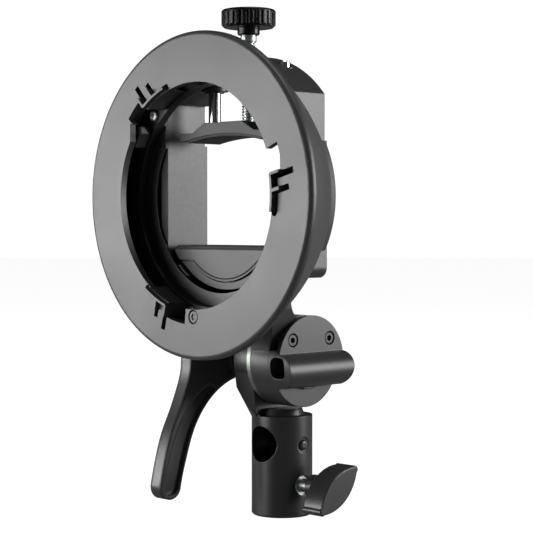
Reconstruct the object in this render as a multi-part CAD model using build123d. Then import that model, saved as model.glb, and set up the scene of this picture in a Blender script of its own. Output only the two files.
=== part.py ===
from build123d import *
import math
import os

# Swivel bracket that holds a clamped flash head behind a bayonet ring and tilts on a stand socket.
# Frame: millimetres, origin on the bayonet axis in the ring's front face, light leaves towards -Y,
# +Z up, +X to the side that carries the umbrella tube and the stand screw.

os.makedirs("parts", exist_ok=True)

# ---------------------------------------------------------------- driving dimensions
RING_R = 71.75           # bayonet ring, outer radius
RING_T = 3.2             # ring plate thickness
RING_EDGE = 2.0          # rounded front edge
BORE_R = 49.5            # bayonet bore radius
NOTCH_R = 56.3           # bottom of the three entry notches
NOTCH_A = (10.4, 22.6)   # a notch's two ends, degrees
GROUP_TURNS = (0, 118.5, 241.8)   # where the three notch groups start
TAB_GAP_R = 52.7         # the ring is cut back to here round each spring tab
TAB_GAP_A = (-8.3, 10.5)
TAB_A = (-8.2, 9.5)      # spring tab's wall, degrees
TAB_WALL = 1.2
TAB_SET_BACK = 0.7       # only the tab's pad reaches in to the bore radius
TAB_PROUD = 2.3          # the tab stands this far in front of the ring
TAB_LEAN = 14            # direction of its two ribs, degrees
TAB_RIBS = ((50.6, 9.5, 5.4, 1.2), (50.6, 1.6, 5.0, 1.6))     # root radius and angle, length, width
TAB_SLOTS = ((52.0, 8.4, 10.4, 2.6), (51.5, 1.5, 7.8, 2.4))   # the same for the ring's slots
SPIGOT_R = 59.6          # ring's rear spigot, outer radius
SPIGOT_WALL = 2.4
SPIGOT_Y = 8.0           # rear end of the spigot

CATCH_EDGE = 42.6        # straight edge of the ring in front of the catch
CATCH_Z = (23.8, 33.0)
CATCH_FRONT = 4.6
FLOOR_Y = 11.0           # front of the bayonet channel's floor
FLOOR_T = 2.0
STEP_R = 49.0            # opening in that floor
STEP_WALL = 2.0
LIP_Y = 16.0             # front of the inner lip
LIP_T = 1.2
LIP_CUT_Z = 20.0         # above this the lip is cut back to the frame's opening
LIP_R = 42.8             # opening in the lip
PLATE_R = SPIGOT_R - 0.2
BOSS_R = 3.1             # bosses on the inner plate for the frame screws
INNER_SCREW_R = 53.2     # three screws hold the inner plate
INNER_SCREW_A = (136, 16, -104)

SHELL_T = 3.0            # bowl wall
SHELL_GAP = 2.4          # ring overhang past the bowl
SHELL_FRONT_R = RING_R - SHELL_GAP
SHELL_MID = (59.1, 23.2)     # radius and depth of a point on the bowl's curve
SHELL_REAR = (47.6, 37.4)    # where the curve meets the straight rear rim
REAR_EDGE = 1.0          # bowl rear edge rounding
REAR_Y = 41.5            # rear face of the bowl and of the frame beside it
FRAME_REAR = 40.0        # rear face of the frame's upper part
FRAME_STEP_Z = 24.0      # the step between the two

FRAME_HALF = 41.0        # clamp frame half width
FRAME_FRONT = LIP_Y + LIP_T
FRAME_WALL = 4.5
FRAME_BOTTOM = -35.7
FRAME_SILL = 5.0         # bottom wall
FRAME_ARC_R = 54.4       # arched top
FRAME_ARC_Z = 8.4
FRAME_ARC_WALL = 7.1
FRAME_CORNER = 4.5
FRAME_INNER_CORNER = 4.0
FRAME_LEDGE = (30.0, 42.6)   # half width and height of the step under the arch
FRAME_SCREWS = ((-37.3, -32.0), (37.3, -32.0), (-30.0, 49.4), (30.0, 49.4))

SCREW_Y = 33.5           # clamp screw and guide rods stand in this plane
ROD_X = 22.5
ROD_R = 2.8
ROD_TOP = 59.2
BUSH_OUT_R = ROD_R + 1.6
SCREW_R = 3.15           # quarter inch coarse thread, outer size
INSERT_R = 5.0
TIP_R = 2.4              # plain end of the clamp screw
CLIP_R = 4.2
CLIP_Z = 28.6
FIT = 0.05               # running clearance on the radius
KNOB_R = 12.2
KNOB_Z = 75.6            # underside of the knob's grip
KNOB_H = 8.1
KNOB_FLUTES = 24
KNOB_NECK_R = 5.0
KNOB_NECK_H = 3.3
COLLAR_R = 3.6           # smooth collar under the knob
COLLAR_H = 5.2

JAW_HALF = 29.0
JAW_FRONT = 17.7
JAW_REAR = 38.4
JAW_TOP = 33.0
JAW_CREST_HALF = 12.0
JAW_SHOULDER = 28.7
JAW_SHOULDER_HALF = 20.0
JAW_UNDER = 25.2         # underside at the ends of the arch
JAW_ARCH = 2.6           # rise of the arch
ARCH_HALF = 25.0
PAD_T = 1.2

SEAT_TOP = -23.6
SEAT_FLANGE_R = 41.4
SEAT_FLANGE_Y = 19.5
SEAT_FLANGE_T = 2.5
SEAT_FACE_R = 31.8       # raised face, arc radius and centre height
SEAT_FACE_Z = -6.0
SEAT_FACE_T = 0.8
SEAT_GROOVE = 0.5        # groove round the raised face
SEAT_SHOULDER = -28.5
SEAT_PAD_T = 1.8

TILT_Y = 54.7            # tilt axis runs along X through here
TILT_Z = -74.3
DISC_R = 20.9
WASHER_X = (-1.7, 0.6)
SPLIT_X = 12.3           # joint face between the two head halves
NECK_FRONT = ((34.4, -70.0), (32.9, -59.6), (29.5, -50.0))
NECK_BACK = ((REAR_Y, -40.0), (REAR_Y, -46.0), (43.0, -50.5), (48.0, -54.5))
NECK_SCREW_X = (6.5, 14.5)
NECK_SCREW_Y = 35.0
NECK_SCREW_Z = -46.5
LOWER_FACE_X = 15.2
PLATE_X = (17.2, 19.0)   # cover plate of the outer half
PLATE_Z = -69.4
COVER_SCREW_Y = 11.8     # cover screws, either side of the tilt axis
COVER_SCREW_Z = -64.2
TUBE_R = 7.7             # umbrella tube
TUBE_X = 18.6
TUBE_Z = -77.9
TUBE_HOLE_X = (13.5, 22.3)
TUBE_HOLE_Z = (-81.0, -71.6)
TUBE_HOLE_R = 3.0

SOCKET_R = 14.0          # stand socket
SOCKET_BOTTOM = -145.4
SOCKET_TOP = -99.5
STUD_R = 8.1             # bores for a 16 mm (5/8 inch) stud
STUD_TOP = -103.5
CROSS_Z = -112.2
CROSS_REAR = 60.0
CHEEK_R = 18.1
CHEEK_X = (-13.2, -1.9)
CHEEK_FLARE_Z = -84.0
STOP_R = 9.2             # low boss on the socket's top
STOP_H = 3.0
BOLT_R = 5.0

LEVER_HUB_R = 10.3
LEVER_HUB_X = (-38.0, -23.5)
LEVER_X = (-31.5, -24.5)
LEVER_FRONT = ((20.6, -74.6), (19.6, -81.9), (17.0, -89.1), (13.5, -97.1), (9.0, -106.2), (5.8, -115.4),
               (3.3, -125.0), (2.2, -130.2))
LEVER_TIP = (6.8, -136.6)
LEVER_REAR = ((14.4, -131.2), (15.4, -126.7), (18.1, -117.9), (21.2, -109.0), (25.4, -101.1), (31.0, -94.2),
              (37.2, -89.1), (48.0, -84.2))
LEVER_RIM = 1.3          # width of the rim round the grooves
LEVER_GROOVE = 1.8       # depth of the grooves
NUT_R = 9.0

WING_Z = -130.9
WING_R = 3.1
WING_TIP = 8.7
WING_BOSS_R = 5.6
WING_HUB_X = (20.0, 25.2)
WING_X = (25.2, 36.4)
WING_LONG = 30.4
WING_WIDE = 13.0
WING_TURN = 39.0         # degrees above +Y at rest
BUSH_R = 4.6
BUSH_X = (8.4, 12.6)

PLUG_Z = -112.6
PLUG_R = 2.5

M3_R = 1.5
M3_HEAD_R = 2.75
M3_HEAD_H = 3.0
M3_HEX = 2.5
M3_SINK_R = 3.1


# ---------------------------------------------------------------- small builders
def box(x, y, z):
    """Box between (low, high) pairs."""
    size = [b - a for a, b in (x, y, z)]
    return Pos(*[(a + b) / 2 for a, b in (x, y, z)]) * Box(*size)


def rod_x(r, x0, x1, y=TILT_Y, z=TILT_Z):
    return Pos((x0 + x1) / 2, y, z) * Rot(0, 90, 0) * Cylinder(r, x1 - x0)


def rod_y(r, y0, y1, x=0, z=0):
    return Pos(x, (y0 + y1) / 2, z) * Rot(90, 0, 0) * Cylinder(r, y1 - y0)


def rod_z(r, z0, z1, x=0, y=0):
    return Pos(x, y, (z0 + z1) / 2) * Cylinder(r, z1 - z0)


def along_y(face, y0, y1):
    """Extrude an X-Z outline from y0 to y1."""
    return Pos(0, y1, 0) * extrude(Plane.XZ * face, y1 - y0)


def along_x(face, x0, x1):
    """Extrude a Y-Z outline from x0 to x1."""
    return Pos(x0, 0, 0) * extrude(Plane.YZ * face, x1 - x0)


def turned_y(face):
    """Turn an outline drawn as (radius, depth) about the bayonet axis."""
    return revolve(face, Axis.Y)


def sector(r0, r1, a0, a1, y0, y1):
    """Ring sector about the bayonet axis, angles from +X towards +Z."""
    cut = Pos((r0 + r1) / 2, (y0 + y1) / 2) * Rectangle(r1 - r0, y1 - y0)
    return Rot(0, -a1, 0) * revolve(cut, Axis.Y, revolution_arc=a1 - a0)


def rib(root, angle, length, width, turn, y0, y1):
    """Straight leaning bar of a tab, from its root on the tab's wall outwards."""
    a = math.radians(angle)
    bar = Rot(0, -TAB_LEAN, 0) * box((0, length), (y0, y1), (-width / 2, width / 2))
    return Rot(0, -turn, 0) * Pos(root * math.cos(a), 0, root * math.sin(a)) * bar


def tube_y(r0, r1, y0, y1):
    return rod_y(r1, y0, y1) - rod_y(r0, y0 - 1, y1 + 1)


def hex_screw(head_r, head_h, shank_r, shank, hex_af):
    """Socket head screw along +Z, head from 0 down to -head_h, shank below."""
    body = rod_z(head_r, -head_h, 0) + rod_z(shank_r, -head_h - shank, -head_h)
    body = chamfer(body.edges().group_by(Axis.Z)[-1], 0.3)
    socket = extrude(RegularPolygon(hex_af / 2, 6, major_radius=False), -head_h * 0.6)
    return body - socket


def cross_screw(head_r, head_h, shank_r, shank):
    """Pan head cross screw along +Z, head from 0 up to head_h."""
    body = rod_z(head_r, 0, head_h)
    body = fillet(body.edges().group_by(Axis.Z)[-1], head_h * 0.6)
    body += rod_z(shank_r, -shank, 0)
    slot = Pos(0, 0, head_h) * (Box(head_r * 1.3, 0.55, head_h) + Box(0.55, head_r * 1.3, head_h))
    return body - slot


def save(shape, name):
    export_step(shape, f"parts/{name}.step")
    nodes[name] = shape


nodes = {}

# ---------------------------------------------------------------- bowl outline


def bowl_outline(inset):
    """Solid of the bowl's outside, drawn inwards by inset."""
    front = (SHELL_FRONT_R - inset, RING_T)
    mid = (SHELL_MID[0] - inset * 0.8, SHELL_MID[1] - inset * 0.55)
    rim = (SHELL_REAR[0] - inset, SHELL_REAR[1])
    rear = (rim[0] - 0.3, REAR_Y - REAR_EDGE - inset)
    last = (rear[0] - REAR_EDGE, REAR_Y - inset)
    edge = ThreePointArc(front, mid, rim) + Polyline(rim, rear, last)
    edge += Polyline(last, (0, REAR_Y - inset), (0, RING_T), front)
    return turned_y(make_face(edge))


def frame_outline(wall_side, wall_bottom, wall_arc):
    """Arched frame outline, drawn inwards by its walls."""
    half = FRAME_HALF - wall_side
    arc_r = FRAME_ARC_R - wall_arc
    top = FRAME_ARC_Z + math.sqrt(arc_r ** 2 - half ** 2)
    low = FRAME_BOTTOM + wall_bottom
    edge = Polyline((-half, top), (-half, low), (half, low), (half, top))
    edge += ThreePointArc((half, top), (0, FRAME_ARC_Z + arc_r), (-half, top))
    return make_face(edge)


def frame_opening(gap=0.0):
    """The frame's inner opening, drawn inwards by a gap."""
    opening = frame_outline(FRAME_WALL + gap, FRAME_SILL, FRAME_ARC_WALL)
    half = FRAME_HALF - FRAME_WALL - gap
    opening += Pos(0, FRAME_LEDGE[1] / 2) * Rectangle(2 * half, FRAME_LEDGE[1])
    corners = opening.vertices().sort_by(Axis.Y)[:2]
    return fillet(corners, FRAME_INNER_CORNER)


bowl = bowl_outline(0)


# ---------------------------------------------------------------- bayonet ring
def bayonet_ring():
    ring = tube_y(BORE_R, RING_R, 0, RING_T)
    outer = ring.edges().filter_by(GeomType.CIRCLE).sort_by(Axis.Y)
    ring = fillet([e for e in outer[:2] if e.radius > BORE_R + 1], RING_EDGE)
    ring += tube_y(SPIGOT_R - SPIGOT_WALL, SPIGOT_R, RING_T - 0.5, SPIGOT_Y)
    through = (-1, RING_T + 1)
    for turn in GROUP_TURNS:
        ring -= sector(BORE_R - 1, NOTCH_R, NOTCH_A[0] + turn, NOTCH_A[1] + turn, *through)
        ring -= sector(BORE_R - 1, TAB_GAP_R, TAB_GAP_A[0] + turn, TAB_GAP_A[1] + turn, *through)
        end = math.radians(TAB_GAP_A[0] + turn)
        round_r = (TAB_GAP_R - BORE_R) / 2
        ring -= rod_y(round_r, *through, (BORE_R + round_r) * math.cos(end), (BORE_R + round_r) * math.sin(end))
        for root, angle, length, width in TAB_SLOTS:
            ring -= rib(root, angle, length, width, turn, *through)
        for root, angle, length, width in TAB_RIBS:
            ring -= rib(root, angle, length + 0.3, width + 0.6, turn, *through)
    ring -= box((-CATCH_EDGE, 0), through, CATCH_Z) & rod_y(RING_R, -5, 5)
    stop_z = -(BORE_R + 3.3)
    ring -= rod_y(M3_SINK_R, -1, 1.0, z=stop_z)
    ring -= rod_y(M3_R + 0.1, 0, RING_T + 1, z=stop_z)
    screw = Pos(0, 0.25, stop_z) * Rot(90, 0, 0) * hex_screw(M3_HEAD_R, 0.75, M3_R, 5.0, M3_HEX)
    return ring, screw


ring, stop_screw = bayonet_ring()
save(ring, "bayonet_ring")
save(stop_screw, "ring_stop_screw")

tabs = []
for turn in GROUP_TURNS:
    ends = (TAB_A[0] + turn, TAB_A[1] + turn)
    inside = BORE_R + TAB_SET_BACK
    tab = sector(inside, inside + TAB_WALL, *ends, -TAB_PROUD, FLOOR_Y)
    tab += sector(BORE_R, inside + TAB_WALL / 2, *ends, 0, RING_T)
    for root, angle, length, width in TAB_RIBS:
        tab += rib(root, angle, length, width, turn, -TAB_PROUD, FLOOR_Y)
    tabs.append(tab)
save(Compound(tabs), "spring_tabs")
catch = box((-CATCH_EDGE - 4.3, -CATCH_EDGE + 1.5), (CATCH_FRONT, FLOOR_Y), (CATCH_Z[0] - 1, CATCH_Z[1] - 1))
catch = fillet(catch.edges().filter_by(Axis.Z), 0.8)
save(catch - rod_y(BORE_R + TAB_SET_BACK, 0, 20), "bayonet_catch")


# ---------------------------------------------------------------- bowl, inner plate and their screws
def at_angle(radius, angle, depth, piece):
    a = math.radians(angle)
    return Pos(radius * math.cos(a), depth, radius * math.sin(a)) * piece


def bowl_shell():
    shell = bowl - bowl_outline(SHELL_T)
    shell -= rod_y(SHELL_FRONT_R - SHELL_T, RING_T - 1, RING_T + 0.5)
    shelf = tube_y(54.6, SHELL_FRONT_R, FLOOR_Y + FLOOR_T, FLOOR_Y + FLOOR_T + 2.4)
    shell += shelf & bowl_outline(SHELL_T * 0.5)
    for angle in INNER_SCREW_A:
        boss = rod_y(3.6, FLOOR_Y + FLOOR_T, FRAME_FRONT)
        shell += at_angle(INNER_SCREW_R + 1.0, angle, 0, boss)
    for x in NECK_SCREW_X:
        shell += rod_z(3.8, -SHELL_MID[0], NECK_SCREW_Z, x, NECK_SCREW_Y) & bowl_outline(SHELL_T * 0.5)
        shell -= rod_z(M3_R, -SHELL_MID[0], NECK_SCREW_Z + 1, x, NECK_SCREW_Y)
        shell -= rod_z(M3_HEAD_R + 0.6, NECK_SCREW_Z, NECK_SCREW_Z + 8, x, NECK_SCREW_Y)
    shell -= rod_y(STEP_R + STEP_WALL, FLOOR_Y, FRAME_FRONT)
    shell -= along_y(frame_outline(0, 0, 0), FRAME_FRONT, REAR_Y + 1)
    for angle in INNER_SCREW_A:
        shell -= at_angle(INNER_SCREW_R, angle, 0, rod_y(M3_R - 0.1, FLOOR_Y, FRAME_FRONT + 1))
    for x, z in FRAME_SCREWS:
        shell -= rod_y(BOSS_R + 0.2, FLOOR_Y, FRAME_FRONT, x, z)
    return shell


def inner_plate():
    plate = tube_y(STEP_R, PLATE_R, FLOOR_Y, FLOOR_Y + FLOOR_T)
    plate += tube_y(STEP_R, STEP_R + STEP_WALL, FLOOR_Y, FRAME_FRONT)
    plate += tube_y(LIP_R, STEP_R + 0.5, LIP_Y, FRAME_FRONT)
    for angle in INNER_SCREW_A:
        plate -= at_angle(INNER_SCREW_R, angle, 0, rod_y(M3_R, FLOOR_Y - 1, FRAME_FRONT))
    plate -= along_y(frame_opening(), LIP_Y - 1, FRAME_FRONT + 1) & box((-60, 60), (0, 60), (LIP_CUT_Z, 60))
    for x, z in FRAME_SCREWS:
        boss = rod_y(BOSS_R, FLOOR_Y + 0.5, FRAME_FRONT, x, z)
        plate += boss & tube_y(STEP_R + 0.5, PLATE_R, 0, 60)
    for x, z in FRAME_SCREWS:
        plate -= rod_y(M3_R - 0.2, FLOOR_Y + 1.5, FRAME_FRONT + 1, x, z)
    return plate


save(bowl_shell(), "bowl_shell")
save(inner_plate(), "inner_plate")

heads = []
for angle in INNER_SCREW_A:
    screw = Rot(90, 0, 0) * cross_screw(2.6, 1.6, M3_R - 0.1, 5.5)
    heads.append(at_angle(INNER_SCREW_R, angle, FLOOR_Y, screw))
save(Compound(heads), "inner_plate_screws")

heads = []
for x, z in FRAME_SCREWS:
    rear = (FRAME_REAR if z > FRAME_STEP_Z else REAR_Y) - 2.0
    screw = Rot(-90, 0, 0) * cross_screw(M3_HEAD_R - 0.55, 1.5, M3_R - 0.25, rear - FLOOR_Y - 2.0)
    heads.append(Pos(x, rear, z) * screw)
save(Compound(heads), "frame_screws")


# ---------------------------------------------------------------- clamp frame
def clamp_frame():
    frame = along_y(frame_outline(0, 0, 0), FRAME_FRONT, REAR_Y)
    long_edges = frame.edges().filter_by(Axis.Y).sort_by(Axis.Z)[:2]
    frame = fillet(long_edges, FRAME_CORNER)
    frame -= along_y(frame_opening(), FRAME_FRONT - 1, REAR_Y + 1)
    frame -= box((-60, 60), (FRAME_REAR, REAR_Y + 1), (FRAME_STEP_Z, 80))
    roof = along_y(frame_outline(1, 1, 1), FRAME_FRONT + 1, FRAME_REAR - 1)
    for x in (-ROD_X, ROD_X):
        frame += rod_z(BUSH_OUT_R + 1.8, 48.2, 62, x, SCREW_Y) & roof
    frame += rod_z(INSERT_R + 2.4, 52.0, 64, 0, SCREW_Y) & roof
    for x in (-ROD_X, ROD_X):
        frame -= rod_z(BUSH_OUT_R, 47, 56.2, x, SCREW_Y)
        frame -= rod_z(ROD_R + 0.5, 50, 70, x, SCREW_Y)
    frame -= rod_z(INSERT_R, 50, 62.0, 0, SCREW_Y)
    frame -= rod_z(COLLAR_R + 0.4, 50, 66, 0, SCREW_Y)
    # pocket in the front of the sill and sides for the seat's flange
    pocket = rod_y(SEAT_FLANGE_R + 0.4, FRAME_FRONT - 1, SEAT_FLANGE_Y + SEAT_FLANGE_T)
    frame -= pocket & box((-60, 60), (0, REAR_Y), (-60, SEAT_TOP + 0.4))
    for x, z in FRAME_SCREWS:
        rear = (FRAME_REAR if z > FRAME_STEP_Z else REAR_Y) - 2.0
        frame -= rod_y(M3_HEAD_R - 0.4, rear, REAR_Y + 1, x, z)
        frame -= rod_y(M3_R - 0.2, FRAME_FRONT - 1, REAR_Y, x, z)
    return frame


save(clamp_frame(), "clamp_frame")

bush = rod_z(BUSH_OUT_R, 47.6, 56.2) - rod_z(ROD_R + FIT, 47, 57)
save(Compound([Pos(x, SCREW_Y, 0) * bush for x in (-ROD_X, ROD_X)]), "rod_bushes")
insert = rod_z(INSERT_R, 52.0, 62.0) - rod_z(SCREW_R + FIT, 51, 63)
save(Pos(0, SCREW_Y, 0) * insert, "clamp_thread_insert")


# ---------------------------------------------------------------- lower seat
def seat_segment(radius, centre_z, top):
    disc = Pos(0, centre_z) * Circle(radius)
    keep = Pos(0, top - 50) * Rectangle(200, 100)
    return disc & keep


def lower_seat():
    rear = SEAT_FLANGE_Y + SEAT_FLANGE_T
    sill = FRAME_BOTTOM + FRAME_SILL
    flange = along_y(seat_segment(SEAT_FLANGE_R, 0, SEAT_TOP), SEAT_FLANGE_Y, rear)
    face = seat_segment(SEAT_FACE_R, SEAT_FACE_Z, SEAT_TOP)
    shoulder = seat_segment(SEAT_FLANGE_R, 0, SEAT_TOP) & (
        Pos(0, (SEAT_TOP + SEAT_SHOULDER) / 2) * Rectangle(200, SEAT_TOP - SEAT_SHOULDER))
    raised = along_y(face + shoulder, SEAT_FLANGE_Y - SEAT_FACE_T, SEAT_FLANGE_Y + 0.4)
    below = Pos(0, SEAT_TOP - 50.5) * Rectangle(200, 100)
    groove = (offset(face + shoulder, SEAT_GROOVE) & below) - (face + shoulder)
    flange -= along_y(groove, SEAT_FLANGE_Y - 1, SEAT_FLANGE_Y + 1.2)
    block = along_y(frame_opening(0.1), rear - 0.5, REAR_Y - 0.8) & box((-60, 60), (0, 60), (sill, SEAT_TOP))
    return flange + raised + block


save(lower_seat(), "lower_seat")
seat_pad = box((-33.5, 33.5), (SEAT_FLANGE_Y - SEAT_FACE_T + 0.3, REAR_Y - 1.2), (SEAT_TOP, SEAT_TOP + SEAT_PAD_T))
save(fillet(seat_pad.edges().filter_by(Axis.Y), 0.6), "lower_seat_pad")


# ---------------------------------------------------------------- moving jaw
def arch_face(drop):
    """Region under the jaw's arch, lowered by drop."""
    low = (-ARCH_HALF, JAW_UNDER - drop)
    high = (ARCH_HALF, JAW_UNDER - drop)
    crown = (0, JAW_UNDER + JAW_ARCH - drop)
    edge = ThreePointArc(low, crown, high)
    edge += Polyline(high, (ARCH_HALF, JAW_UNDER - 10), (-ARCH_HALF, JAW_UNDER - 10), low)
    return make_face(edge)


def upper_jaw():
    outline = make_face(Polyline(
        (-JAW_HALF, JAW_UNDER), (JAW_HALF, JAW_UNDER), (JAW_HALF, JAW_SHOULDER),
        (JAW_SHOULDER_HALF, JAW_SHOULDER), (JAW_CREST_HALF, JAW_TOP), (-JAW_CREST_HALF, JAW_TOP),
        (-JAW_SHOULDER_HALF, JAW_SHOULDER), (-JAW_HALF, JAW_SHOULDER), (-JAW_HALF, JAW_UNDER)))
    jaw = along_y(outline - arch_face(0), JAW_FRONT, JAW_REAR)
    for x in (-ROD_X, ROD_X):
        jaw += rod_z(ROD_R + 1.6, JAW_UNDER + 1.5, JAW_TOP - 1.0, x, SCREW_Y) - along_y(arch_face(0), 0, 60)
    for x in (-ROD_X, ROD_X):
        jaw -= rod_z(ROD_R, JAW_UNDER + 2.6, JAW_TOP + 1, x, SCREW_Y)
    jaw -= rod_z(TIP_R + FIT, JAW_UNDER, JAW_TOP + 1, 0, SCREW_Y)
    jaw -= rod_z(CLIP_R + 0.5, JAW_UNDER, CLIP_Z + 1.6, 0, SCREW_Y)
    return jaw


save(upper_jaw(), "upper_jaw")

pad = along_y(arch_face(0) - arch_face(PAD_T), JAW_FRONT + 0.6, JAW_REAR - 0.6)
save(pad & box((-24.4, 24.4), (0, 60), (0, 60)), "upper_jaw_pad")
guide_rod = rod_z(ROD_R, JAW_UNDER + 2.6, ROD_TOP)
guide_rod = chamfer(guide_rod.edges().group_by(Axis.Z)[-1], 0.5)
save(Pos(-ROD_X, SCREW_Y, 0) * guide_rod, "guide_rod_left")
save(Pos(ROD_X, SCREW_Y, 0) * guide_rod, "guide_rod_right")


# ---------------------------------------------------------------- clamp screw and knob
def clamp_screw():
    neck_low = KNOB_Z - KNOB_NECK_H
    collar_low = neck_low - COLLAR_H
    screw = rod_z(TIP_R, CLIP_Z - 0.6, JAW_TOP + 0.6)
    screw += rod_z(SCREW_R, JAW_TOP + 0.3, collar_low)
    screw += rod_z(COLLAR_R, collar_low, neck_low)
    screw += rod_z(SCREW_R - 0.3, neck_low, KNOB_Z + KNOB_H - 3)
    groove = rod_z(TIP_R + 1, CLIP_Z, CLIP_Z + 0.8) - rod_z(TIP_R - 0.6, 0, 60)
    return Pos(0, SCREW_Y, 0) * (screw - groove)


def clamp_knob():
    grip = rod_z(KNOB_R, KNOB_Z, KNOB_Z + KNOB_H)
    grip = fillet(grip.edges().group_by(Axis.Z)[-1], 1.2)
    grip = chamfer(grip.edges().group_by(Axis.Z)[0], 1.2)
    step = 360 / KNOB_FLUTES
    for i in range(KNOB_FLUTES):
        flute = Pos(KNOB_R + 0.25, 0, 0) * rod_z(0.85, KNOB_Z - 1, KNOB_Z + KNOB_H - 1.3)
        grip -= Rot(0, 0, i * step) * flute
    neck = rod_z(KNOB_NECK_R, KNOB_Z - KNOB_NECK_H, KNOB_Z + 0.5)
    neck = fillet(neck.edges().group_by(Axis.Z)[0], 0.7)
    grip += neck
    return Pos(0, SCREW_Y, 0) * (grip - rod_z(SCREW_R - 0.3, KNOB_Z - 8, KNOB_Z + KNOB_H - 3))


save(clamp_screw(), "clamp_screw")
save(clamp_knob(), "clamp_knob")
clip = rod_z(CLIP_R, CLIP_Z, CLIP_Z + 0.8) - rod_z(TIP_R - 0.6, CLIP_Z - 1, CLIP_Z + 2)
clip -= box((0, 10), (-1.5, 1.5), (CLIP_Z - 1, CLIP_Z + 2))
save(Pos(0, SCREW_Y, 0) * clip, "screw_retaining_clip")


# ---------------------------------------------------------------- tilt head
def neck_face():
    front = Spline(*NECK_FRONT)
    back = Polyline(NECK_FRONT[-1], (29.5, NECK_BACK[0][1]), NECK_BACK[0], NECK_BACK[1])
    curve = Spline(NECK_BACK[1], NECK_BACK[2], NECK_BACK[3])
    close = Polyline(NECK_BACK[3], (TILT_Y, TILT_Z), NECK_FRONT[0])
    return make_face(front + back + curve + close)


def disc_face(radius=DISC_R):
    return Pos(TILT_Y, TILT_Z) * Circle(radius)


def bolt_head_pocket(extra):
    hexagon = Pos(TILT_Y, TILT_Z) * RegularPolygon(8.5 + extra, 6, major_radius=False)
    return along_x(hexagon, SPLIT_X - 6.5 - extra, SPLIT_X + 0.5)


def inner_half():
    half = along_x(disc_face() + neck_face(), WASHER_X[1], SPLIT_X)
    half -= bowl
    half -= along_y(frame_outline(0, 0, 0), FRAME_FRONT, REAR_Y)
    half -= rod_x(BOLT_R, WASHER_X[1] - 1, SPLIT_X - 5)
    half -= along_x(Pos(TILT_Y, TILT_Z) * RegularPolygon(8.5, 6, major_radius=False), SPLIT_X - 6.5, SPLIT_X + 1)
    for side in (-1, 1):
        half -= rod_x(M3_R, SPLIT_X - 8, SPLIT_X + 1, TILT_Y + side * COVER_SCREW_Y, COVER_SCREW_Z)
    half -= neck_screw_hole(NECK_SCREW_X[0])
    return half


def neck_screw_hole(x):
    """Threaded hole with room for the head above it."""
    head = rod_z(M3_HEAD_R + 0.2, NECK_SCREW_Z, NECK_SCREW_Z + 8, x, NECK_SCREW_Y)
    return head + rod_z(M3_R - 0.1, NECK_SCREW_Z - 11, NECK_SCREW_Z, x, NECK_SCREW_Y)


def neck_side():
    """Outer neck, narrowing downwards to the joint face."""
    side = Polyline((SPLIT_X, -40), (SPLIT_X + 7.5, -40), (SPLIT_X + 6.2, -50),
                    (SPLIT_X + 4.4, -56.5), (SPLIT_X, -69.0), (SPLIT_X, -40))
    return along_y(make_face(side), 28, 56)


def outer_half():
    # the plate that closes the joint stays narrow above the tube, so a slot shows behind the cover
    below = Pos(TILT_Y, TUBE_Z - 50) * Rectangle(100, 100)
    half = along_x(disc_face() & below, SPLIT_X, LOWER_FACE_X)
    half += along_x(neck_face(), SPLIT_X, SPLIT_X + 8) & neck_side()
    half += along_x(disc_face(12.5), SPLIT_X, PLATE_X[0] + 0.4)
    above = Pos(TILT_Y, PLATE_Z + 50) * Rectangle(100, 100)
    half += along_x(disc_face() & above, *PLATE_X)
    tube = Pos(TUBE_X, TUBE_Z) * Circle(TUBE_R)
    web = Pos((SPLIT_X + TUBE_X) / 2, TUBE_Z) * Rectangle(TUBE_X - SPLIT_X, TUBE_R * 2)
    neck = Pos((SPLIT_X + PLATE_X[1]) / 2, PLATE_Z - 1.5) * Rectangle(PLATE_X[1] - SPLIT_X, 5)
    span = along_y(tube + web, TILT_Y - 30, TILT_Y + 30)
    span += along_y(neck, TILT_Y - 30, TILT_Y + 30)
    half += span & rod_x(DISC_R, SPLIT_X, SPLIT_X + 30)
    for side in (-1, 1):
        y = TILT_Y + side * COVER_SCREW_Y
        half += rod_x(M3_SINK_R + 1.0, SPLIT_X, PLATE_X[0] + 0.4, y, COVER_SCREW_Z)
    half -= bowl
    half -= along_y(frame_outline(0, 0, 0), FRAME_FRONT, REAR_Y)
    width = TUBE_HOLE_X[1] - TUBE_HOLE_X[0]
    height = TUBE_HOLE_Z[1] - TUBE_HOLE_Z[0]
    hole = RectangleRounded(width, height, TUBE_HOLE_R)
    hole = Pos(sum(TUBE_HOLE_X) / 2, sum(TUBE_HOLE_Z) / 2) * hole
    half -= along_y(hole, TILT_Y - 40, TILT_Y + 40)
    for side in (-1, 1):
        y = TILT_Y + side * COVER_SCREW_Y
        half -= rod_x(M3_SINK_R, PLATE_X[1] - M3_HEAD_H - 0.3, PLATE_X[1] + 1, y, COVER_SCREW_Z)
        half -= rod_x(M3_R, SPLIT_X - 1, PLATE_X[1], y, COVER_SCREW_Z)
    half -= neck_screw_hole(NECK_SCREW_X[1])
    return half


save(inner_half(), "head_inner_half")
save(outer_half(), "head_outer_half")

cover_screws = []
for side in (-1, 1):
    screw = Rot(0, 90, 0) * hex_screw(M3_HEAD_R, M3_HEAD_H, M3_R - 0.05, 10.5, M3_HEX)
    cover_screws.append(Pos(PLATE_X[1] - 0.3, TILT_Y + side * COVER_SCREW_Y, COVER_SCREW_Z) * screw)
save(Compound(cover_screws), "head_cover_screws")

neck_screws = []
for x in NECK_SCREW_X:
    screw = cross_screw(M3_HEAD_R, 1.8, M3_R - 0.1, 10.0)
    neck_screws.append(Pos(x, NECK_SCREW_Y, NECK_SCREW_Z) * screw)
save(Compound(neck_screws), "neck_screws")

washer = rod_x(DISC_R, *WASHER_X) - rod_x(BOLT_R + 0.2, WASHER_X[0] - 1, WASHER_X[1] + 1)
save(washer, "friction_washer")


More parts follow.
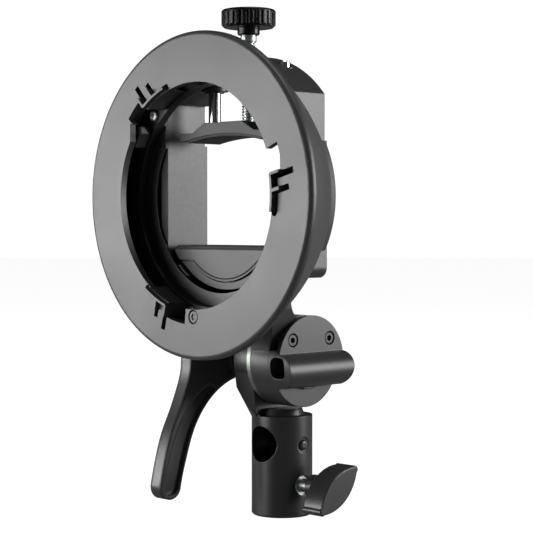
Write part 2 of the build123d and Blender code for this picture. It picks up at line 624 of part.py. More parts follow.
# ---------------------------------------------------------------- stand socket
def stand_socket():
    body = rod_z(SOCKET_R, SOCKET_BOTTOM, SOCKET_TOP, 0, TILT_Y)
    body = chamfer(body.edges().group_by(Axis.Z)[0], 0.8)
    arm = make_face(Polyline(
        (TILT_Y - CHEEK_R, TILT_Z - 0.7), (TILT_Y - SOCKET_R, SOCKET_TOP - 4),
        (TILT_Y + SOCKET_R, SOCKET_TOP - 4), (TILT_Y + CHEEK_R, TILT_Z - 0.7),
        (TILT_Y - CHEEK_R, TILT_Z - 0.7)))
    cheek = along_x(arm + Pos(TILT_Y, TILT_Z - 0.7) * Circle(CHEEK_R), *CHEEK_X)
    corner = math.hypot(CHEEK_X[0], CHEEK_R) + 0.2
    flare_h = CHEEK_FLARE_Z - (SOCKET_TOP - 1)
    flare = Pos(0, TILT_Y, SOCKET_TOP - 1 + flare_h / 2) * Cone(SOCKET_R, corner, flare_h)
    flare += rod_z(corner, CHEEK_FLARE_Z, TILT_Z + 30, 0, TILT_Y)
    flare += rod_z(SOCKET_R, SOCKET_TOP - 6, SOCKET_TOP - 1, 0, TILT_Y)
    body += cheek & flare
    root = Pos(CHEEK_X[1] + 1.3, SOCKET_TOP + 1.2)
    fill = (root * Rectangle(2.8, 2.8)) - Pos(CHEEK_X[1] + 2.7, SOCKET_TOP + 2.6) * Circle(2.6)
    body += along_y(fill, TILT_Y - SOCKET_R, TILT_Y + SOCKET_R) & rod_z(SOCKET_R, -110, -90, 0, TILT_Y)
    stop = Pos(0, TILT_Y, SOCKET_TOP + STOP_H / 2) * Cone(STOP_R + 1.2, STOP_R, STOP_H)
    body += stop & box((CHEEK_X[0] + 4, 20), (0, 100), (SOCKET_TOP - 1, -90))
    body -= rod_z(STUD_R, SOCKET_BOTTOM - 1, STUD_TOP, 0, TILT_Y)
    body -= rod_y(STUD_R, TILT_Y - 20, CROSS_REAR, 0, CROSS_Z)
    body -= rod_x(BOLT_R + FIT, CHEEK_X[0] - 1, CHEEK_X[1] + 1)
    body -= rod_x(PLUG_R, STUD_R - 3, SOCKET_R + 1, z=PLUG_Z)
    body -= rod_x(PLUG_R + 1.1, SOCKET_R - 0.7, SOCKET_R + 1, z=PLUG_Z)
    body -= rod_x(BUSH_R, STUD_R - 3, SOCKET_R + 1, z=WING_Z)
    return body


save(stand_socket(), "stand_socket")
save(rod_x(BUSH_R, *BUSH_X, z=WING_Z) - rod_x(WING_R + FIT, BUSH_X[0] - 1, BUSH_X[1] + 1, z=WING_Z),
     "stand_screw_bush")

plug = rod_x(PLUG_R, STUD_R + 0.5, SOCKET_R + 0.6, z=PLUG_Z)
save(fillet(plug.edges().group_by(Axis.X)[-1], 1.4), "socket_plug")

bolt = rod_x(BOLT_R, LEVER_HUB_X[0] + 2.5, SPLIT_X - 6.4)
bolt += along_x(Pos(TILT_Y, TILT_Z) * RegularPolygon(8.4, 6, major_radius=False), SPLIT_X - 6.4, SPLIT_X - 0.2)
save(bolt, "tilt_bolt")


# ---------------------------------------------------------------- tilt lever
def lever_outline():
    tip = ThreePointArc(LEVER_FRONT[-1], LEVER_TIP, LEVER_REAR[0])
    hub = Polyline(LEVER_REAR[-1], (TILT_Y, TILT_Z), (TILT_Y, TILT_Z + LEVER_HUB_R - 0.8), (27.0, -66.5))
    brow = Spline((27.0, -66.5), (22.6, -69.0), LEVER_FRONT[0], tangents=[(-1, -0.1), (0, -1)])
    return make_face(Spline(*LEVER_FRONT) + tip + Spline(*LEVER_REAR) + hub + brow)


def groove_outline():
    inner = Spline((33.0, -86.2), (24.0, -91.0), (17.5, -98.5), (12.2, -107.0), (8.6, -115.5), (5.6, -124.8),
                   (LEVER_FRONT[-1][0] + LEVER_RIM, -129.8))
    low = (LEVER_TIP[0] + 0.6, LEVER_TIP[1] + LEVER_RIM + 0.4)
    end = ThreePointArc(inner @ 1, low, (LEVER_REAR[0][0] - LEVER_RIM, -130.6))
    outer = Spline(end @ 1, (16.9, -117.9), (20.0, -108.6), (24.4, -100.6), (29.8, -93.6), (36.0, -88.4))
    return make_face(inner + end + outer + Line(outer @ 1, inner @ 0))


def tilt_lever():
    blade = along_x(lever_outline(), *LEVER_X)
    lever = blade + rod_x(LEVER_HUB_R, *LEVER_HUB_X)
    lever -= along_x(groove_outline(), LEVER_X[1] - LEVER_GROOVE, LEVER_X[1] + 1)
    lever -= along_x(groove_outline(), LEVER_X[0] - 1, LEVER_X[0] + LEVER_GROOVE)
    lever -= rod_x(BOLT_R + FIT, LEVER_HUB_X[0] - 1, LEVER_HUB_X[1] + 1)
    lever -= rod_x(NUT_R - 1.5, LEVER_HUB_X[0] - 1, LEVER_HUB_X[0] + 2.0)
    return lever


save(tilt_lever(), "tilt_lever")
nut = rod_x(NUT_R, LEVER_HUB_X[1], CHEEK_X[0] - 0.3)
save(nut - rod_x(BOLT_R + FIT, LEVER_HUB_X[1] - 1, CHEEK_X[0] + 1), "lever_nut")
cap = rod_x(NUT_R - 1.5, LEVER_HUB_X[0] - 0.6, LEVER_HUB_X[0] + 1.6)
save(chamfer(cap.edges().group_by(Axis.X)[0], 0.4), "lever_cap")


# ---------------------------------------------------------------- stand screw
def wing_outline():
    """Almond outline with rounded ends, long axis along local x."""
    half_l, half_w = WING_LONG / 2, WING_WIDE / 2
    blunt = 1.9
    tip = half_l - blunt
    upper = ThreePointArc((-tip, blunt), (0, half_w), (tip, blunt))
    lower = ThreePointArc((tip, -blunt), (0, -half_w), (-tip, -blunt))
    right = ThreePointArc((tip, blunt), (half_l, 0), (tip, -blunt))
    left = ThreePointArc((-tip, -blunt), (-half_l, 0), (-tip, blunt))
    return make_face(upper + right + lower + left)


def wing_knob():
    place = Pos(TILT_Y, WING_Z) * Rot(0, 0, WING_TURN)
    head = along_x(place * wing_outline(), *WING_X)
    head = fillet(head.faces().sort_by(Axis.X)[-1].edges(), 0.6)
    head += rod_x(WING_BOSS_R, *WING_HUB_X, z=WING_Z)
    return head - rod_x(WING_R, WING_HUB_X[0] - 1, WING_X[1] - 4, z=WING_Z)


save(wing_knob(), "wing_knob")
wing_screw = rod_x(WING_R, WING_TIP, WING_X[1] - 4, z=WING_Z)
save(chamfer(wing_screw.edges().group_by(Axis.X)[0], 0.5), "wing_screw")

print(len(nodes), "nodes")
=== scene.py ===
import math

import bmesh
import bpy
from mathutils import Matrix, Vector


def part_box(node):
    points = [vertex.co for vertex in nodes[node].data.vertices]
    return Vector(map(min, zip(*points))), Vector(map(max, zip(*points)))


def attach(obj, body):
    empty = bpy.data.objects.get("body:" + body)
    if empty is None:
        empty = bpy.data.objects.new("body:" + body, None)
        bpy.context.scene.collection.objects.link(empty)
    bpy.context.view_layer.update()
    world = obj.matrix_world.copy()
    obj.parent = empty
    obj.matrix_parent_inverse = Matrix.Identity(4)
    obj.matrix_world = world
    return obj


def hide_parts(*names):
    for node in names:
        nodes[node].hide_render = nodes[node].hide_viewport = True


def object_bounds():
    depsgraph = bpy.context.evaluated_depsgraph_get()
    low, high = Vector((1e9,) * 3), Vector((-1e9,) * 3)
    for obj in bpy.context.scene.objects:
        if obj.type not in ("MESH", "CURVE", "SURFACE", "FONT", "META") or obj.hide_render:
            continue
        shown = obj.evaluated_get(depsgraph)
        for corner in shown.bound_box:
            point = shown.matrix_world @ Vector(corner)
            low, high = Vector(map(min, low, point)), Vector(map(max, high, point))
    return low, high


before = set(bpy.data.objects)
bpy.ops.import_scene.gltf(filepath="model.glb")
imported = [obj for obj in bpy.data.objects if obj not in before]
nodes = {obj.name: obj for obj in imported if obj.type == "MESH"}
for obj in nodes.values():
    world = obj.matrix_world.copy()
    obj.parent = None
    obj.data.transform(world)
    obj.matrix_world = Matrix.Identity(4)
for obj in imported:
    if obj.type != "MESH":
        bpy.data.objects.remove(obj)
cad_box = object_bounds()

# ---------------------------------------------------------------- studio
# One large soft panel stands in front on the lever's side, a second behind on the umbrella tube's
# side, and a weak third above. Floor and background look white to the camera and dim to the bracket.
azimuth, elevation = math.radians(45.784), math.radians(1.465)
back = Vector((math.sin(azimuth) * math.cos(elevation),
               -math.cos(azimuth) * math.cos(elevation), math.sin(elevation)))
camera = bpy.data.objects.new("camera", bpy.data.cameras.new("camera"))
bpy.context.scene.collection.objects.link(camera)
camera.data.sensor_width = 36
camera.data.lens = 109.49
camera.location = (0.528215, -0.469227, -0.012684)
camera.rotation_mode = "QUATERNION"
camera.rotation_quaternion = (-back).to_track_quat("-Z", "Y")
bpy.context.scene.camera = camera

middle = Vector((0.0, 0.03, -0.03))


def soft_panel(name, towards, distance, width, height, power):
    """Area light on the far side of `towards`, turned to the middle of the bracket."""
    panel = bpy.data.objects.new(name, bpy.data.lights.new(name, "AREA"))
    bpy.context.scene.collection.objects.link(panel)
    panel.data.shape = "RECTANGLE"
    panel.data.size, panel.data.size_y = width, height
    panel.data.energy = power
    direction = Vector(towards).normalized()
    panel.location = middle + direction * distance
    panel.rotation_mode = "QUATERNION"
    panel.rotation_quaternion = direction.to_track_quat("Z", "Y")


soft_panel("front_panel", towards=(-0.60, -0.80, -0.06), distance=1.3, width=1.25, height=0.62, power=29)
soft_panel("side_panel", towards=(0.72, 0.69, 0.17), distance=1.3, width=0.66, height=0.62, power=13)
soft_panel("top_panel", towards=(0.2, 0.1, 1.0), distance=1.4, width=1.0, height=1.0, power=6)

bpy.context.scene.view_settings.view_transform = "Standard"
world = bpy.data.worlds.new("studio")
bpy.context.scene.world = world
world.use_nodes = True
sky = world.node_tree
sky.nodes["Background"].inputs["Color"].default_value = (1, 1, 1, 1)
path = sky.nodes.new("ShaderNodeLightPath")
level = sky.nodes.new("ShaderNodeMapRange")
sky_on_bracket, sky_on_camera = 0.045, 1.05
level.inputs["To Min"].default_value = sky_on_bracket
level.inputs["To Max"].default_value = sky_on_camera
sky.links.new(path.outputs["Is Camera Ray"], level.inputs["Value"])
sky.links.new(level.outputs["Result"], sky.nodes["Background"].inputs["Strength"])

floor_radius, floor_gap = 6.0, 0.0002
sweep = bmesh.new()
bmesh.ops.create_circle(sweep, cap_ends=True, segments=64, radius=floor_radius)
bmesh.ops.translate(sweep, verts=sweep.verts, vec=(0, 0, cad_box[0][2] - floor_gap))
floor = bpy.data.objects.new("floor", bpy.data.meshes.new("floor"))
sweep.to_mesh(floor.data)
sweep.free()
bpy.context.scene.collection.objects.link(floor)
pale = bpy.data.materials.new("pale_floor")
pale.use_nodes = True
pale_shader = pale.node_tree.nodes["Principled BSDF"]
pale_shader.inputs["Base Color"].default_value = (0.30, 0.30, 0.30, 1)
pale_shader.inputs["Roughness"].default_value = 0.9
pale_shader.inputs["Emission Color"].default_value = (1, 1, 1, 1)
pale_glow = pale.node_tree.nodes.new("ShaderNodeLightPath")
pale_level = pale.node_tree.nodes.new("ShaderNodeMapRange")
floor_on_bracket, floor_on_camera = 0.05, 0.95
pale_level.inputs["To Min"].default_value = floor_on_bracket
pale_level.inputs["To Max"].default_value = floor_on_camera
pale.node_tree.links.new(pale_glow.outputs["Is Camera Ray"], pale_level.inputs["Value"])
pale.node_tree.links.new(pale_level.outputs["Result"], pale_shader.inputs["Emission Strength"])
floor.data.materials.append(pale)

# ---------------------------------------------------------------- bowl
# The bowl behind the ring is one moulding in black glass-filled plastic with a fine eroded grain.
# Its rear rim is turned nearly straight, and the inner plate screws to a shelf inside it.


class Wire:
    """A shader socket that takes part in sums."""

    def __init__(self, tree, socket=None):
        self.tree = tree
        self.socket = socket

    def node(self, kind, settings=None, inputs=None, out=0):
        made = self.tree.nodes.new(kind)
        for key, value in (settings or {}).items():
            setattr(made, key, value)
        for key, value in (inputs or {}).items():
            if isinstance(value, Wire):
                self.tree.links.new(value.socket, made.inputs[key])
            else:
                made.inputs[key].default_value = value
        return Wire(self.tree, made.outputs[out])

    def maths(self, operation, first, second=0.0):
        return self.node("ShaderNodeMath", {"operation": operation}, {0: first, 1: second})

    def __add__(self, other):
        return self.maths("ADD", self, other)

    __radd__ = __add__

    def __sub__(self, other):
        return self.maths("SUBTRACT", self, other)

    def __rsub__(self, other):
        return self.maths("SUBTRACT", other, self)

    def __mul__(self, other):
        return self.maths("MULTIPLY", self, other)

    def clipped(self):
        return self.maths("MINIMUM", self.maths("MAXIMUM", self, 0.0), 1.0)


def new_finish(name):
    """A material, its wires and its main shader."""
    finish = bpy.data.materials.new(name)
    finish.use_nodes = True
    tree = finish.node_tree
    return finish, Wire(tree), tree.nodes["Principled BSDF"]


def object_place(wires, scale=(1, 1, 1)):
    place = wires.node("ShaderNodeTexCoord", out="Object")
    return wires.node("ShaderNodeMapping", None, {"Vector": place, "Scale": scale})


def noise(wires, place, scale, detail=3.0, rough=0.5):
    settings = {"noise_dimensions": "3D"}
    inputs = {"Vector": place, "Scale": scale, "Detail": detail, "Roughness": rough}
    return wires.node("ShaderNodeTexNoise", settings, inputs, "Fac")


def softened(wires, radius):
    """Surface normal with its sharp edges rounded off by a radius in metres."""
    return wires.node("ShaderNodeBevel", {"samples": 6}, {"Radius": radius}, "Normal")


def edge_mask(wires, rounded, gain):
    """1 along the sharp edges, 0 on the flats."""
    true = wires.node("ShaderNodeNewGeometry", out="True Normal")
    dot = wires.node("ShaderNodeVectorMath", {"operation": "DOT_PRODUCT"}, {0: rounded, 1: true}, "Value")
    return ((1.0 - dot) * gain).clipped()


def mixed(wires, amount, low, high):
    settings = {"data_type": "RGBA", "clamp_factor": True}
    return wires.node("ShaderNodeMix", settings, {"Factor": amount, 6: low, 7: high}, 2)


def lay_on(finish_shader, wires, **sockets):
    for name, value in sockets.items():
        key = name.replace("_", " ")
        if isinstance(value, Wire):
            wires.tree.links.new(value.socket, finish_shader.inputs[key])
        else:
            finish_shader.inputs[key].default_value = value


def grey(level):
    return (level, level, level, 1)


def moulded_plastic(name, level, rough, grain, depth, edge=0.0003, sheen_level=0.5):
    """Black moulding: eroded grain of a given scale and depth, broad dust, smoother edges, and edges painted
    paler as a painted highlight.
    """
    finish, wires, shader = new_finish(name)
    place = object_place(wires)
    fine = noise(wires, place, grain, 2.0, 0.6)
    broad = noise(wires, place, 22.0, 4.0, 0.55)
    rounded = softened(wires, edge)
    edges = edge_mask(wires, rounded, 2.2)
    # Base colour: dust and grain, plus the sharp edges painted paler as a painted highlight.
    dust_grain_and_edge_highlight = (broad * 0.5 + fine * 0.35 + edges * 0.5).clipped()
    bump = wires.node("ShaderNodeBump", None,
                      {"Strength": 0.8, "Distance": depth, "Height": fine, "Normal": rounded})
    lay_on(shader, wires,
           Base_Color=mixed(wires, dust_grain_and_edge_highlight, grey(level * 0.72), grey(level * 1.5)),
           Roughness=(rough + (broad - 0.5) * 0.10 + (fine - 0.5) * 0.14 - edges * 0.08).clipped(),
           Specular_IOR_Level=sheen_level, Normal=bump)
    return finish


def coat_with(names, finish):
    for name in names:
        slots = nodes[name].data.materials
        slots.clear()
        slots.append(finish)


coat_with(["bowl_shell"],
          moulded_plastic("bowl_grain", level=0.058, rough=0.52, grain=1500.0, depth=0.00010))

# ---------------------------------------------------------------- bayonet ring
# A turned light-alloy ring in satin black enamel: three entry notches, three cut-backs for the
# spring tabs, a straight edge over the catch, and one small socket-head stop screw in its face.


def satin_enamel(name, level, rough, edge, cloud):
    """Baked enamel on metal: faint clouds in the gloss, a touch of peel, edges painted paler, partly as wear
    and partly as a painted highlight.
    """
    edge_wear_and_highlight, peel = 0.6, 0.00003
    finish, wires, shader = new_finish(name)
    place = object_place(wires)
    clouds = noise(wires, place, 34.0, 5.0, 0.6)
    speck = noise(wires, place, 1900.0, 2.0, 0.5)
    rounded = softened(wires, edge)
    edges = edge_mask(wires, rounded, 2.5)
    # Edges painted paler: partly wear, partly a painted highlight along the rims.
    rubbed_and_highlit_edges = (edges * (0.6 + clouds * 0.8) * edge_wear_and_highlight).clipped()
    bump = wires.node("ShaderNodeBump", None,
                      {"Strength": 0.6, "Distance": peel, "Height": speck, "Normal": rounded})
    lay_on(shader, wires,
           Base_Color=mixed(wires, rubbed_and_highlit_edges, grey(level), grey(level * 2.6)),
           Roughness=(rough + (clouds - 0.5) * cloud * 2 + (speck - 0.5) * 0.05).clipped(),
           Normal=bump)
    return finish


coat_with(["bayonet_ring"],
          satin_enamel("ring_enamel", level=0.050, rough=0.40, edge=0.0003, cloud=0.06))


def black_oxide(name):
    """Blackened steel of the small screws; their sharp edges are painted paler as a painted highlight."""
    finish, wires, shader = new_finish(name)
    place = object_place(wires)
    mottle = noise(wires, place, 420.0, 3.0, 0.6)
    rounded = softened(wires, 0.0002)
    edges = edge_mask(wires, rounded, 3.0)
    # The head rims and socket chamfers are painted paler: a painted highlight.
    lay_on(shader, wires,
           Base_Color=mixed(wires, (mottle * 0.4 + edges).clipped(), grey(0.018), grey(0.16)),
           Metallic=0.7, Roughness=(0.30 + mottle * 0.14).clipped(), Normal=rounded)
    return finish


oxide = black_oxide("oxide_screws")
coat_with(["ring_stop_screw", "head_cover_screws", "neck_screws", "frame_screws"], oxide)

# ---------------------------------------------------------------- spring tabs and catch
# Three F-shaped plastic springs stand up from the inner plate beside the entry notches and
# come a little proud of the ring; the catch is a block of the same plastic behind its edge.
coat_with(["spring_tabs", "bayonet_catch"],
          moulded_plastic("tab_plastic", level=0.045, rough=0.38, grain=900.0, depth=0.00003, edge=0.0004))

# ---------------------------------------------------------------- inner plate
# Matt black moulding that closes the bowl behind the bayonet channel and steps back to the lip
# round the opening. Three zinc-plated cross-head screws hold it to the bowl.
# Its base is darker than the other mouldings: partly the plate's own black, partly painted shade for the
# deep channel behind the ring.
coat_with(["inner_plate"],
          moulded_plastic("inner_black", level=0.010, rough=0.40, grain=1100.0, depth=0.00005, edge=0.0004))


def bright_zinc(name):
    """Zinc-plated steel: faint blue-green cast, fine tool marks and duller spots."""
    tint = (0.72, 0.75, 0.75, 1)
    rough = 0.36
    streak = (900.0, 900.0, 900.0)
    finish, wires, shader = new_finish(name)
    marks = noise(wires, object_place(wires, streak), 1.0, 3.0, 0.65)
    spots = noise(wires, object_place(wires), 160.0, 4.0, 0.6)
    dull = tuple(c * 0.55 for c in tint[:3]) + (1,)
    rounded = softened(wires, 0.00012)
    bump = wires.node("ShaderNodeBump", None,
                      {"Strength": 0.5, "Distance": 0.00002, "Height": marks, "Normal": rounded})
    lay_on(shader, wires,
           Base_Color=mixed(wires, (spots * 1.2 - 0.2).clipped(), tint, dull),
           Metallic=1.0, Roughness=(rough + (marks - 0.5) * 0.2 + (spots - 0.5) * 0.1).clipped(),
           Normal=bump)
    return finish


zinc = bright_zinc("bright_zinc")
coat_with(["inner_plate_screws", "clamp_thread_insert", "screw_retaining_clip",
           "tilt_bolt", "stand_screw_bush"], zinc)

# ---------------------------------------------------------------- clamp frame
# An arched frame moulded in smooth satin plastic, let into the back of the bowl. Two plain
# bushes and a threaded insert are pressed into bosses under its arch.
coat_with(["clamp_frame"],
          moulded_plastic("frame_satin", level=0.032, rough=0.38, grain=1300.0, depth=0.00003, edge=0.0005))
coat_with(["rod_bushes"],
          moulded_plastic("bush_plastic", level=0.012, rough=0.45, grain=1200.0, depth=0.00003, edge=0.0002))

# ---------------------------------------------------------------- lower seat
# A black moulding across the bottom of the opening with a raised arched panel, and a strip of
# ribbed grip rubber on top. The rubber's ribs run front to back; its edge shows as fine teeth.
coat_with(["lower_seat"],
          moulded_plastic("seat_satin", level=0.026, rough=0.44, grain=1300.0, depth=0.00004, edge=0.0004))


def grip_rubber(name):
    """Matt rubber with fine dust caught in its skin."""
    finish, wires, shader = new_finish(name)
    place = object_place(wires)
    skin = noise(wires, place, 2600.0, 3.0, 0.6)
    dust = noise(wires, place, 90.0, 5.0, 0.65)
    bump = wires.node("ShaderNodeBump", None, {"Strength": 0.8, "Distance": 0.00004, "Height": skin})
    lay_on(shader, wires,
           Base_Color=mixed(wires, dust, grey(0.035), grey(0.085)),
           Roughness=(0.62 + skin * 0.2).clipped(), Specular_IOR_Level=0.35, Normal=bump)
    return finish


rubber = grip_rubber("grip_rubber")


def make_piece(name, mesh, body, finish, stands_for=(), smooth_angle=40):
    """Turns a finished bmesh into a piece that rides on a body."""
    bmesh.ops.recalc_face_normals(mesh, faces=mesh.faces)
    for face in mesh.faces:
        face.smooth = True
    for edge in mesh.edges:
        if len(edge.link_faces) == 2 and edge.calc_face_angle() > math.radians(smooth_angle):
            edge.smooth = False
    piece = bpy.data.objects.new(name, bpy.data.meshes.new(name))
    mesh.to_mesh(piece.data)
    mesh.free()
    bpy.context.scene.collection.objects.link(piece)
    piece.data.materials.append(finish)
    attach(piece, body)
    if stands_for:
        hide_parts(*stands_for)


def add_block(mesh, low, high, round_by=0.0):
    """Box between two corners, its edges rounded if asked."""
    size = Vector(high) - Vector(low)
    place = Matrix.Translation((Vector(low) + Vector(high)) / 2) @ Matrix.Diagonal((*size, 1))
    made = bmesh.ops.create_cube(mesh, size=1.0, matrix=place)["verts"]
    if round_by:
        edges = list(dict.fromkeys(e for v in made for e in v.link_edges))
        bmesh.ops.bevel(mesh, geom=edges, offset=round_by, affect="EDGES", segments=2,
                        profile=0.5, material=-1)


def add_rib(mesh, radius, x, z, y0, y1):
    """Round rib that runs front to back."""
    place = Matrix.Translation((x, (y0 + y1) / 2, z)) @ Matrix.Rotation(math.pi / 2, 4, "X")
    bmesh.ops.create_cone(mesh, cap_ends=True, segments=8, radius1=radius, radius2=radius,
                          depth=y1 - y0, matrix=place)


seat_low, seat_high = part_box("lower_seat_pad")
rib_pitch = 0.00135
rib_radius = 0.00042
foot_inset = Vector((0.0004, 0.0010, 0))
foot_top = Vector((0, 0, 0.0008))
sheet_lift = Vector((0, 0, 0.00045))
sheet_top = Vector((0, 0, rib_radius * 1.4))
strip = bmesh.new()
add_block(strip, seat_low + foot_inset, seat_high - foot_inset - foot_top)
add_block(strip, seat_low + sheet_lift, seat_high - sheet_top, 0.0002)
rib_count = int((seat_high.x - seat_low.x - 0.002) / rib_pitch)
for i in range(rib_count):
    x = (i - (rib_count - 1) / 2) * rib_pitch
    add_rib(strip, rib_radius, x, seat_high.z - rib_radius, seat_low.y + 0.0001, seat_high.y - 0.0001)
make_piece("seat_grip", strip, "head", rubber, ("lower_seat_pad",), 60)

# ---------------------------------------------------------------- seat's serrated strip
# A thin strip of the same rubber is let into the raised panel along its curved lower edge;
# only its row of fine teeth shows.
panel_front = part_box("lower_seat")[0].y
arc_radius = 0.0306
arc_centre = -0.006
tooth_step = math.radians(1.7)
teeth_each_side = 25
tooth_half_width, tooth_half_height = 0.00028, 0.00035
tooth_proud, tooth_root = 0.00018, 0.0003
tooth_low = (-tooth_half_width, panel_front - tooth_proud, -tooth_half_height)
tooth_high = (tooth_half_width, panel_front + tooth_root, tooth_half_height)
teeth = bmesh.new()
for i in range(-teeth_each_side, teeth_each_side + 1):
    turn = i * tooth_step
    before = len(teeth.verts)
    add_block(teeth, tooth_low, tooth_high)
    teeth.verts.ensure_lookup_table()
    tooth = teeth.verts[before:]
    bmesh.ops.translate(teeth, verts=tooth, vec=(0, 0, arc_centre - arc_radius))
    bmesh.ops.rotate(teeth, verts=tooth, cent=(0, 0, arc_centre), matrix=Matrix.Rotation(turn, 3, "Y"))
make_piece("seat_teeth", teeth, "head", rubber)

# ---------------------------------------------------------------- moving jaw
# The jaw is a moulded bridge with a raised crest and a curved strip of ribbed rubber under its
# arch. Two polished rods are fixed in it and slide in the frame's bushes.
# The jaw's base is the darkest of the mouldings: partly its own black, partly painted shade under the
# frame's arch.
coat_with(["upper_jaw"],
          moulded_plastic("jaw_satin", level=0.006, rough=0.46, grain=1300.0, depth=0.00004,
                          edge=0.0005, sheen_level=0.35))

jaw_low, jaw_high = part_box("upper_jaw_pad")
arch_rise = 0.0026
arch_half = 0.025
arch_radius = (arch_half ** 2 + arch_rise ** 2) / (2 * arch_rise)
arch_top = jaw_high.z
pad_thickness = 0.0012
arch_centre = Vector((0, 0, arch_top - arch_radius))
curved = bmesh.new()
half_turn = math.asin(jaw_high.x / arch_radius)
corner = arch_centre + Vector((0, jaw_low.y, arch_radius))
outline = [corner, corner + Vector((0, jaw_high.y - jaw_low.y, 0))]
under = Vector((0, 0, -(pad_thickness - rib_radius)))
outline += [outline[1] + under, outline[0] + under]
face = curved.faces.new([curved.verts.new(p) for p in outline])
bmesh.ops.rotate(curved, verts=curved.verts, cent=arch_centre,
                 matrix=Matrix.Rotation(-half_turn, 3, "Y"))
bmesh.ops.spin(curved, geom=list(curved.verts) + list(curved.edges) + [face], cent=arch_centre,
               axis=(0, 1, 0), angle=2 * half_turn, steps=32, use_merge=False)
arc_ribs = int(2 * half_turn * arch_radius / rib_pitch)
for i in range(arc_ribs):
    turn = (i - (arc_ribs - 1) / 2) * rib_pitch / arch_radius
    reach = arch_radius - pad_thickness + rib_radius
    add_rib(curved, rib_radius, reach * math.sin(turn), arch_centre.z + reach * math.cos(turn),
            jaw_low.y + 0.0001, jaw_high.y - 0.0001)
make_piece("jaw_grip", curved, "jaw", rubber, ("upper_jaw_pad",), 60)


def polished_chrome(name):
    """Hard chrome on ground rod: very fine draw lines along it."""
    finish, wires, shader = new_finish(name)
    lines = noise(wires, object_place(wires, (3500.0, 3500.0, 40.0)), 1.0, 2.0, 0.5)
    lay_on(shader, wires,
           Base_Color=mixed(wires, lines, (0.74, 0.76, 0.77, 1), (0.86, 0.87, 0.87, 1)),
           Metallic=1.0, Roughness=(0.07 + lines * 0.09).clipped(),
           Normal=softened(wires, 0.00015))
    return finish


coat_with(["guide_rod_left", "guide_rod_right"], polished_chrome("rod_chrome"))

# ---------------------------------------------------------------- clamp screw
# A quarter-inch coarse screw in zinc-plated steel runs down through the frame to the jaw.
# Its thread is cut right up to a plain collar under the knob.
pitch = 0.00127
thread_depth = 0.00062
steps_per_turn = 20


def add_thread(mesh, crest, low, high):
    """Screw thread round Z: one tooth swept up a helix, cut level and closed at both ends."""
    root = crest - thread_depth
    tooth = [(root, 0.0), (root, 0.00012), (crest, 0.00056), (crest, 0.00071),
             (root, 0.00115), (root, pitch)]
    turns = int((high - low) / pitch) + 3
    base = low - 1.5 * pitch
    made = [mesh.verts.new((radius, 0, base + lift)) for radius, lift in tooth]
    run = [mesh.edges.new(pair) for pair in zip(made, made[1:])]
    start = len(mesh.faces)
    bmesh.ops.spin(mesh, geom=made + run, cent=(0, 0, 0), axis=(0, 0, 1), use_merge=False,
                   dvec=(0, 0, pitch / steps_per_turn), angle=turns * 2 * math.pi,
                   steps=turns * steps_per_turn)
    mesh.faces.ensure_lookup_table()
    verts = list(dict.fromkeys(v for f in mesh.faces[start:] for v in f.verts))
    bmesh.ops.remove_doubles(mesh, verts=verts, dist=0.000004)
    for height, up in ((low, -1), (high, 1)):
        cut = bmesh.ops.bisect_plane(mesh, geom=list(mesh.verts) + list(mesh.edges) + list(mesh.faces),
                                     plane_co=(0, 0, height), plane_no=(0, 0, up), clear_outer=True)
        rim = [e for e in cut["geom_cut"] if isinstance(e, bmesh.types.BMEdge)]
        bmesh.ops.edgeloop_fill(mesh, edges=rim)


def add_drum(mesh, radius, z0, z1, round_by=0.0):
    """Plain turned length round Z, its rims rounded if asked."""
    place = Matrix.Translation((0, 0, (z0 + z1) / 2))
    made = bmesh.ops.create_cone(mesh, cap_ends=True, segments=32, radius1=radius, radius2=radius,
                                 depth=z1 - z0, matrix=place)["verts"]
    if round_by:
        edges = dict.fromkeys(e for v in made for e in v.link_edges)
        rims = [e for e in edges if abs(e.verts[0].co.z - e.verts[1].co.z) < 1e-7]
        bmesh.ops.bevel(mesh, geom=rims, offset=round_by, affect="EDGES", segments=3,
                        profile=0.5, material=-1)


screw_low, screw_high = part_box("clamp_screw")
knob_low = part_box("clamp_knob")[0]
screw_centre = ((screw_low.x + screw_high.x) / 2, (screw_low.y + screw_high.y) / 2, 0)
clamp_crest, collar_radius, tip_radius, core_radius = 0.00315, 0.0036, 0.0024, 0.00285
tip_length, collar_length, buried = 0.0053, 0.0031, 0.0003
thread_low, thread_top = screw_low.z + tip_length, knob_low.z - collar_length
shank = bmesh.new()
add_thread(shank, clamp_crest, thread_low, thread_top)
add_drum(shank, collar_radius, thread_top, knob_low.z + 0.0001, 0.0003)
add_drum(shank, tip_radius, screw_low.z, thread_low + buried, 0.0002)
add_drum(shank, core_radius, knob_low.z, screw_high.z)
bmesh.ops.translate(shank, verts=shank.verts, vec=screw_centre)
make_piece("clamp_thread", shank, "screw", zinc, ("clamp_screw",), 35)

# ---------------------------------------------------------------- clamp knob
# A fluted knob in glossy black plastic, pressed on the screw's top; its rim has two dozen
# finger flutes and its neck runs down to the collar.
coat_with(["clamp_knob"],
          moulded_plastic("knob_gloss", level=0.006, rough=0.26, grain=700.0, depth=0.00002,
                          edge=0.0005, sheen_level=0.32))

# ---------------------------------------------------------------- tilt head
# Two black-enamelled castings meet in a flat joint, held by two socket-head screws in the
# half-round cover. The outer one carries the umbrella tube; both reach up under the bowl.
coat_with(["head_inner_half", "head_outer_half"],
          satin_enamel("head_enamel", level=0.030, rough=0.38, edge=0.0006, cloud=0.04))


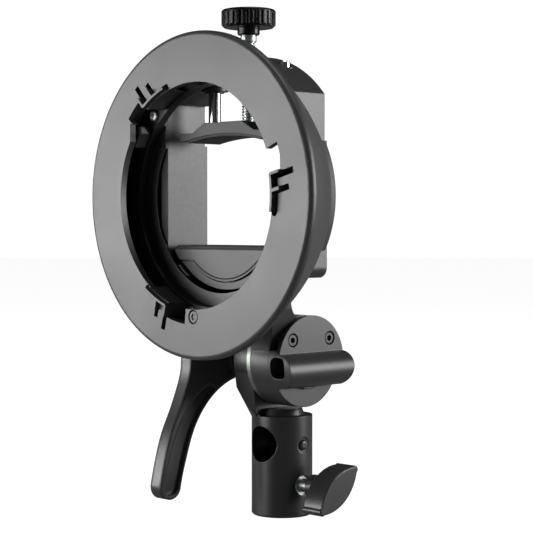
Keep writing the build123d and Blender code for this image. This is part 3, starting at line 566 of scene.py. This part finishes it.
def turned_washer(name):
    """Bare alloy washer: rings left by the lathe and a slightly green cast."""
    finish, wires, shader = new_finish(name)
    low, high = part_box("friction_washer")
    centre = (low + high) / 2
    place = wires.node("ShaderNodeTexCoord", out="Object")
    away = wires.node("ShaderNodeVectorMath", {"operation": "SUBTRACT"}, {0: place, 1: tuple(centre)})
    flat = wires.node("ShaderNodeVectorMath", {"operation": "MULTIPLY"}, {0: away, 1: (0, 1, 1)})
    reach = wires.node("ShaderNodeVectorMath", {"operation": "LENGTH"}, {0: flat}, "Value")
    rings = wires.maths("SINE", reach * 22000.0) * 0.5 + 0.5
    stain = noise(wires, place, 130.0, 4.0, 0.6)
    bump = wires.node("ShaderNodeBump", None, {"Strength": 0.4, "Distance": 0.00002, "Height": rings,
                                               "Normal": softened(wires, 0.0003)})
    lay_on(shader, wires,
           Base_Color=mixed(wires, stain, (0.30, 0.33, 0.29, 1), (0.20, 0.23, 0.20, 1)),
           Metallic=0.85, Roughness=(0.34 + stain * 0.15).clipped(), Normal=bump)
    return finish


coat_with(["friction_washer"], turned_washer("washer_alloy"))

# ---------------------------------------------------------------- stand socket
# A casting in satin black enamel: a round socket bored from below and from the front for a
# 16 mm stud, and one cheek beside the friction washer. A domed plug closes a side hole.
coat_with(["stand_socket"],
          satin_enamel("socket_enamel", level=0.022, rough=0.33, edge=0.0006, cloud=0.03))
coat_with(["socket_plug"],
          satin_enamel("plug_enamel", level=0.030, rough=0.30, edge=0.0002, cloud=0.02))

# ---------------------------------------------------------------- tilt lever
# The lever is a curved, grooved moulding over a round hub that clamps the joint; a black
# nut sits between hub and cheek, and a flat cap closes the hub's outer end.
# The wide edge radius also widens the painted highlight along the lever's rims and groove.
coat_with(["tilt_lever", "lever_cap"],
          moulded_plastic("lever_satin", level=0.035, rough=0.36, grain=1500.0, depth=0.00003, edge=0.0025))
coat_with(["lever_nut"], oxide)

# ---------------------------------------------------------------- stand screw
# An almond-shaped wing in satin black plastic on a zinc-plated screw, which runs in a bush
# pressed into the side of the socket. The screw is threaded inside the bush and plain outside it.
coat_with(["wing_knob"],
          moulded_plastic("wing_satin", level=0.028, rough=0.33, grain=1300.0, depth=0.00003, edge=0.0007))

wing_low, wing_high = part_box("wing_screw")
wing_axis = (wing_low + wing_high) / 2
bush_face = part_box("stand_screw_bush")[1].x
wing_crest, point_radius = 0.0031, 0.0026
spindle = bmesh.new()
add_thread(spindle, wing_crest, wing_low.x + 0.0006, bush_face)
add_drum(spindle, point_radius, wing_low.x, wing_low.x + 0.0012, 0.0003)
add_drum(spindle, wing_crest, bush_face - 0.0002, wing_high.x, 0.0002)
bmesh.ops.rotate(spindle, verts=spindle.verts, cent=(0, 0, 0), matrix=Matrix.Rotation(math.pi / 2, 3, "Y"))
bmesh.ops.translate(spindle, verts=spindle.verts, vec=(0, wing_axis.y, wing_axis.z))
make_piece("wing_thread", spindle, "stand_screw", zinc, ("wing_screw",), 35)
